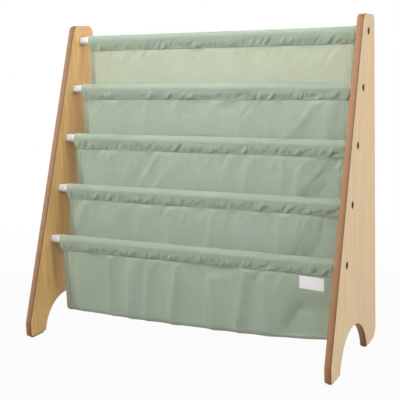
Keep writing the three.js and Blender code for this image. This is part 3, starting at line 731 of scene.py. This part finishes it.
def make_stitches(name, lines, material):
    """Rows of stitches, each a few rings whose radius follows the root of a sine, and two poles. Each
    line is (points, normals) on the cloth's face. Stitches lie a pitch apart along it, half sunk."""
    turn = np.linspace(0.0, 2.0 * math.pi, STITCH_SIDES, endpoint=False)[None, :]
    share = np.linspace(STITCH_TIP, 1.0 - STITCH_TIP, STITCH_RINGS)[:, None]
    swell = np.sin(math.pi * share) ** 0.5
    rings = points_of(share - 0.5, swell * np.cos(turn), swell * np.sin(turn))
    template, faces = closed_rings(rings, (-0.5, 0.0, 0.0), (0.5, 0.0, 0.0))
    placed = []
    for line, normal in lines:
        run = run_lengths(line, 0)
        count = int(run[-1] / STITCH_PITCH)
        at = (np.arange(count) + 0.5) * run[-1] / count
        along = unit(sampled(line, run, at + STITCH_LENGTH / 3) - sampled(line, run, at - STITCH_LENGTH / 3))
        across = unit(np.cross(sampled(normal, run, at), along))
        ways = (STITCH_LENGTH * along, STITCH_RADIUS * across, STITCH_RADIUS * np.cross(along, across))
        offsets = [template[:, [axis]] * way[:, None] for axis, way in enumerate(ways)]
        placed.append((sampled(line, run, at)[:, None] + sum(offsets)).reshape(-1, 3))
    points = np.concatenate(placed)
    starts = np.arange(0, len(points), len(template))[:, None, None]
    sides, ends = (np.array([face for face in faces if len(face) == corners]) for corners in (4, 3))
    faces = (starts + sides).reshape(-1, 4).tolist() + (starts + ends).reshape(-1, 3).tolist()
    return make_piece(name, points, faces, material)


def casing_stitches(index, outer, normal, total):
    """Two rows of stitches, along the front seam and the rear seam of a casing."""
    column = round(SEAM_STITCH_RISE / total * (CASING_ROWS - 1))
    lines = [(outer[:, c], normal[:, c]) for c in (column, -1 - column)]
    return make_stitches(f"thread_casing_{index + 1}", lines, thread)


def pocket_stitches(index, outer, inner, normal):
    """Stitches down both side hems of a pocket, on both faces of the cloth."""
    rows = [int(np.argmin(abs(outer[:, 0, 0] - x)))
            for x in (cloth_left + HEM_STITCH_INSET, cloth_right - HEM_STITCH_INSET)]
    lines = [(face[r], sign * normal[r]) for r in rows for face, sign in ((outer, 1.0), (inner, -1.0))]
    return make_stitches(f"thread_pocket_{index + 1}", lines, thread)


def make_label():
    """Bare woven label sewn on the front of the lowest pocket: a rectangle turned by its tilt, laid
    on the cloth's face, with stitches round it."""
    low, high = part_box("sewn_label")
    centre = (low + high) / 2
    a = np.linspace(-0.5, 0.5, LABEL_COLUMNS)[:, None] * LABEL_WIDTH
    b = np.linspace(0.5, -0.5, LABEL_ROWS)[None, :] * LABEL_HEIGHT
    x = centre.x + a * math.cos(LABEL_TILT) + b * math.sin(LABEL_TILT)
    z = centre.z + b * math.cos(LABEL_TILT) - a * math.sin(LABEL_TILT)
    index = POCKET_COUNT - 1
    top = wall_top(index + 1, x)
    v = 1.0 - (1.0 - BEND_END) * (top - z) / (top - bend_height(index, x))
    points = pocket_middle(index, x, v)
    points[..., 1] -= CLOTH_HALF + (LABEL_HALF + LABEL_GAP)
    # The tape is stiffer than the cloth, so it bridges small creases: each row is smoothed along X.
    window = np.full(2 * LABEL_BRIDGE + 1, 1 / (2 * LABEL_BRIDGE + 1))
    smooth = np.array([np.convolve(np.pad(row, LABEL_BRIDGE, mode="edge"), window, mode="valid")
                       for row in points[..., 1].T]).T
    points[..., 1] = np.minimum(points[..., 1], smooth)
    uv = points_of(a, b)
    half = np.full(points.shape[:2], LABEL_HALF)
    piece, outer, _, normal = cloth_shell("bare_label", points[:, ::-1], half, tape,
                                          ["sewn_label"], uv[:, ::-1])
    i = round(LABEL_STITCH_INSET / LABEL_WIDTH * (LABEL_COLUMNS - 1))
    j = round(LABEL_STITCH_INSET / LABEL_HEIGHT * (LABEL_ROWS - 1))
    lines = [(outer[i:-i, c], normal[i:-i, c]) for c in (j, -1 - j)]
    lines += [(outer[r, j:-j], normal[r, j:-j]) for r in (i, -1 - i)]
    return piece, make_stitches("thread_label", lines, white_thread)


# Hard pieces

def make_panel(side):
    """Side panel: the frame's own shape, with its loose triangles merged and its roundings smooth."""
    node = f"side_panel_{side}"
    shape = bmesh.new()
    shape.from_mesh(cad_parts[node].data)
    bmesh.ops.remove_doubles(shape, verts=shape.verts, dist=0.01 * MM)
    mesh = bpy.data.meshes.new(f"panel_{side}")
    shape.to_mesh(mesh)
    shape.free()
    mesh.materials.clear()
    mesh.materials.append(plywood)
    mesh.polygons.foreach_set("material_index", np.zeros(len(mesh.polygons), dtype=np.int32))
    mesh.shade_smooth()
    mesh.set_sharp_from_angle(angle=math.radians(35))
    mesh.update()
    piece = dress(bpy.data.objects.new(f"panel_{side}", mesh), [node])
    weighted = piece.modifiers.new("flat faces stay flat", "WEIGHTED_NORMAL")
    weighted.keep_sharp = True
    weighted.weight = 100
    return piece


def turned(centre, profile, corner_shares=None, sides=TUBE_SIDES):
    """A surface turned about a line along X: profile is (x, radius) per ring. Where corner_shares
    is given, each ring's radius is blended from a circle to a hexagon by that share."""
    profile = np.array(profile)
    turn = np.linspace(0.0, 2.0 * math.pi, sides, endpoint=False)[None, :]
    radius = profile[:, 1:2]
    if corner_shares is not None:
        sixth = math.pi / 3
        hexagon = radius / np.cos((turn + sixth / 2) % sixth - sixth / 2)
        radius = radius + np.array(corner_shares)[:, None] * (hexagon - radius)
    y, z = radius * np.cos(turn) + centre[0], radius * np.sin(turn) + centre[1]
    return points_of(profile[:, :1], y, z)


def make_rod(index):
    """Coated tube: a closed ring section with rounded edges, turned about the rod's axis."""
    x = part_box(f"rod_{index + 1}")[1].x - ROD_ROUNDING
    arc = np.linspace(0.0, math.pi / 2, ROUNDING_STEPS)
    end = [(x - ROUNDING_HOLD, rod_radius)]
    for radius, angles in ((rod_radius - ROD_ROUNDING, math.pi / 2 - arc),
                           (rod_radius - ROD_WALL + ROD_ROUNDING, -arc)):
        end += [(x + ROD_ROUNDING * math.cos(t), radius + ROD_ROUNDING * math.sin(t)) for t in angles]
    end.append((x - ROUNDING_HOLD, rod_radius - ROD_WALL))
    points = turned(rod_axes[index], end + [(-x, radius) for x, radius in end[::-1]])
    faces = grid_faces(*points.shape[:2], wrap_rows=True, wrap_columns=True)
    return make_piece(f"rod_tube_{index + 1}", points, faces, powder_coat,
                      [f"rod_{index + 1}"])


def make_bolt(side, index):
    """Furniture bolt: a flat head with a rounded rim and a hexagon socket, and a plain shank.
    Rings are (depth below the head's face, radius, share of hexagon)."""
    node = f"panel_bolt_{side}_{index + 1}"
    low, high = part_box(node)
    face = max(abs(low.x), abs(high.x))
    rings = [(2.1, 0.0, 0), (1.8, 1.9, 1), (1.7, 2.0, 1), (0.15, 2.0, 1), (0.0, 2.15, 1), (0.0, 2.6, 0.6),
             (0.0, 4.0, 0), (0.0, 5.2, 0), (0.06, 5.5, 0), (0.25, 5.8, 0), (0.6, 6.0, 0), (0.8, 6.0, 0),
             (2.5, 6.0, 0), (2.8, 5.8, 0), (2.8, 3.4, 0), (2.9, 3.0, 0), (3.4, 3.0, 0), (22.9, 3.0, 0),
             (23.1, 2.9, 0), (24.0, 2.0, 0), (24.0, 0.0, 0)]
    way = 1.0 if side == "right" else -1.0
    profile = [(way * (face - depth * MM), radius * MM) for depth, radius, _ in rings]
    points = turned(middle_of(node)[1:], profile, [share for _, _, share in rings], BOLT_SIDES)
    points, faces = closed_rings(points[1:-1], points[0, 0], points[-1, 0])
    piece = make_piece(f"bolt_{side}_{index + 1}", points, faces, bolt_steel, [node])
    piece.data.set_sharp_from_angle(angle=math.radians(40))
    return piece


def make_pad(side, end):
    """Felt foot pad: a rounded rectangle carried up a profile of (share of the height, inset in
    millimetres) with soft edges, closed by a flat fan at the top and the bottom."""
    node = f"foot_pad_{side}_{end}"
    low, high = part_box(node)
    centre, size = (low + high) / 2, high - low
    profile = np.array([(0.0, 0.9), (0.0, 0.35), (0.12, 0.08), (0.35, 0.0), (0.75, 0.0), (0.92, 0.1),
                        (1.0, 0.35), (1.0, 0.9)])
    height, corner = profile[:, :1], PAD_CORNER - profile[:, 1:] * MM
    quarters = np.arange(4)[:, None] * math.pi / 2
    angle = (np.linspace(0.0, math.pi / 2, CORNER_STEPS) + quarters).ravel()
    sign_x, sign_y = (np.repeat(signs, CORNER_STEPS) for signs in ((1, -1, -1, 1), (1, 1, -1, -1)))
    x = centre.x + sign_x * (size.x / 2 - PAD_CORNER) + corner * np.cos(angle)
    y = centre.y + sign_y * (size.y / 2 - PAD_CORNER) + corner * np.sin(angle)
    rings = points_of(x, y, low.z + height * size.z)
    points, faces = closed_rings(rings, (centre.x, centre.y, low.z), (centre.x, centre.y, high.z))
    return make_piece(f"felt_pad_{side}_{end}", points, faces, felt, [node])


for side in SIDES:
    make_panel(side)
    for end in ("front", "rear"):
        make_pad(side, end)
    for k in range(ROD_COUNT):
        make_bolt(side, k)
        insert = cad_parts[f"rod_insert_{side}_{k + 1}"]
        for slot_of in insert.material_slots:
            slot_of.material = insert_steel

for k in range(ROD_COUNT):
    make_rod(k)
    casing, outer, _, normal, length = make_casing(k)
    sewn = casing_stitches(k, outer, normal, length)

for k in range(POCKET_COUNT):
    pocket, outer, inner, normal, length = make_pocket(k)
    sewn = pocket_stitches(k, outer, inner, normal)

label, label_sewn = make_label()


# Floor, world, lamps and camera

FLOOR_SIZE = 16.0


def show_white(tree, lit, share, output):
    """Puts a share of white emission, strength 1, over a shader for camera, glossy and transmission
    rays, and links it to an output of the given kind."""
    path = add(tree, "LightPath").outputs
    seen = add(tree, "Math", {0: path["Is Camera Ray"], 1: path["Is Glossy Ray"]}, operation="MAXIMUM")
    seen = add(tree, "Math", {0: seen, 1: path["Is Transmission Ray"]}, operation="MAXIMUM")
    part = add(tree, "Math", {0: seen, 1: share}, operation="MULTIPLY")
    white = add(tree, "Emission", {"Color": linear("#FFFFFF"), "Strength": 1.0})
    mixed = add(tree, "MixShader", {0: part, 1: lit, 2: white})
    add(tree, output, {"Surface": mixed})


bpy.ops.mesh.primitive_plane_add(size=FLOOR_SIZE)
floor = bpy.context.object
floor.name = "floor"
paper, tree = new_material("white paper floor")
lit = add(tree, "BsdfDiffuse", {"Color": linear("#AFAEA8")})
# The shadow shows near the object. Far away the paper is plain white.
place = add(tree, "TexCoord").outputs["Object"]
distance = add(tree, "VectorMath", {0: place}, operation="LENGTH")
whiteness = add(tree, "MapRange", {0: distance.outputs["Value"], 1: 0.5, 2: 1.2, 3: 0.95, 4: 1.0})
show_white(tree, lit, whiteness, "OutputMaterial")
floor.data.materials.append(paper)

world = bpy.data.worlds.new("studio")
scene.world = world
world.use_nodes = True
world.node_tree.nodes.clear()
lit = add(world.node_tree, "Background", {"Color": linear("#E6EEFF"), "Strength": 0.05})
show_white(world.node_tree, lit, 1.0, "OutputWorld")


def add_lamp(name, place, aim, size, power, colour, spread=180):
    """A square soft box that faces a point. Its grid narrows the light to the given angle."""
    lamp = bpy.data.lights.new(name, "AREA")
    lamp.spread = math.radians(spread)
    lamp.shape, lamp.size, lamp.energy = "SQUARE", size, power
    lamp.color = linear(colour)[:3]
    box = bpy.data.objects.new(name, lamp)
    box.location = place
    box.rotation_euler = (Vector(aim) - Vector(place)).to_track_quat("-Z", "Y").to_euler()
    scene.collection.objects.link(box)


add_lamp("key at the front", (0.15, -1.35, 1.65), (0.0, 0.0, 0.85), 0.5, 3.6, "#FFFFFF", 70)
add_lamp("soft box at the front left", (-1.7, -2.3, 1.6), (0.0, 0.0, 0.75), 0.6, 7.5, "#FFFFFF", 75)
add_lamp("large soft box in front", (1.2, -1.9, 1.3), (0.0, 0.0, 0.3), 2.0, 12.5, "#FFFFFF")
add_lamp("small soft box low at the right", (1.5, -0.95, 0.45), (-0.3, -0.03, 0.1), 0.4, 0.25, "#FFFFFF", 50)
add_lamp("soft box at the right", (2.1, 0.15, 1.3), (0.3, 0.0, 0.35), 0.7, 30.0, "#FFFFFF")
add_lamp("soft box behind", (0.1, 1.7, 1.5), (0.0, 0.0, 0.45), 1.2, 38.0, "#FFEEEE")

# The camera that gives the photograph's outlines, found from the panels' and rods' edges
CAMERA_PLACE = (0.73476, -1.38498, 0.54635)
CAMERA_YAW, CAMERA_PITCH, CAMERA_ROLL = (math.radians(a) for a in (27.45, -7.65, -1.73))
FOCAL_SHARE = 2.1558            # focal length over the picture's width
PICTURE = 400
PRINCIPAL_ROW = 161.2
SENSOR = 36.0
camera_data = bpy.data.cameras.new("camera")
camera_data.sensor_fit = "HORIZONTAL"
camera_data.sensor_width = SENSOR
camera_data.lens = SENSOR * FOCAL_SHARE
camera_data.shift_y = (PRINCIPAL_ROW - PICTURE / 2) / PICTURE
camera = bpy.data.objects.new("camera", camera_data)
# At rest the camera looks down. It is rolled, tipped up to its pitch and then turned to its yaw.
camera.matrix_world = (Matrix.Translation(CAMERA_PLACE) @ Matrix.Rotation(CAMERA_YAW, 4, "Z")
                       @ Matrix.Rotation(math.pi / 2 + CAMERA_PITCH, 4, "X")
                       @ Matrix.Rotation(CAMERA_ROLL, 4, "Z"))
scene.collection.objects.link(camera)
scene.camera = camera
scene.view_settings.view_transform = "Standard"

bpy.context.view_layer.update()
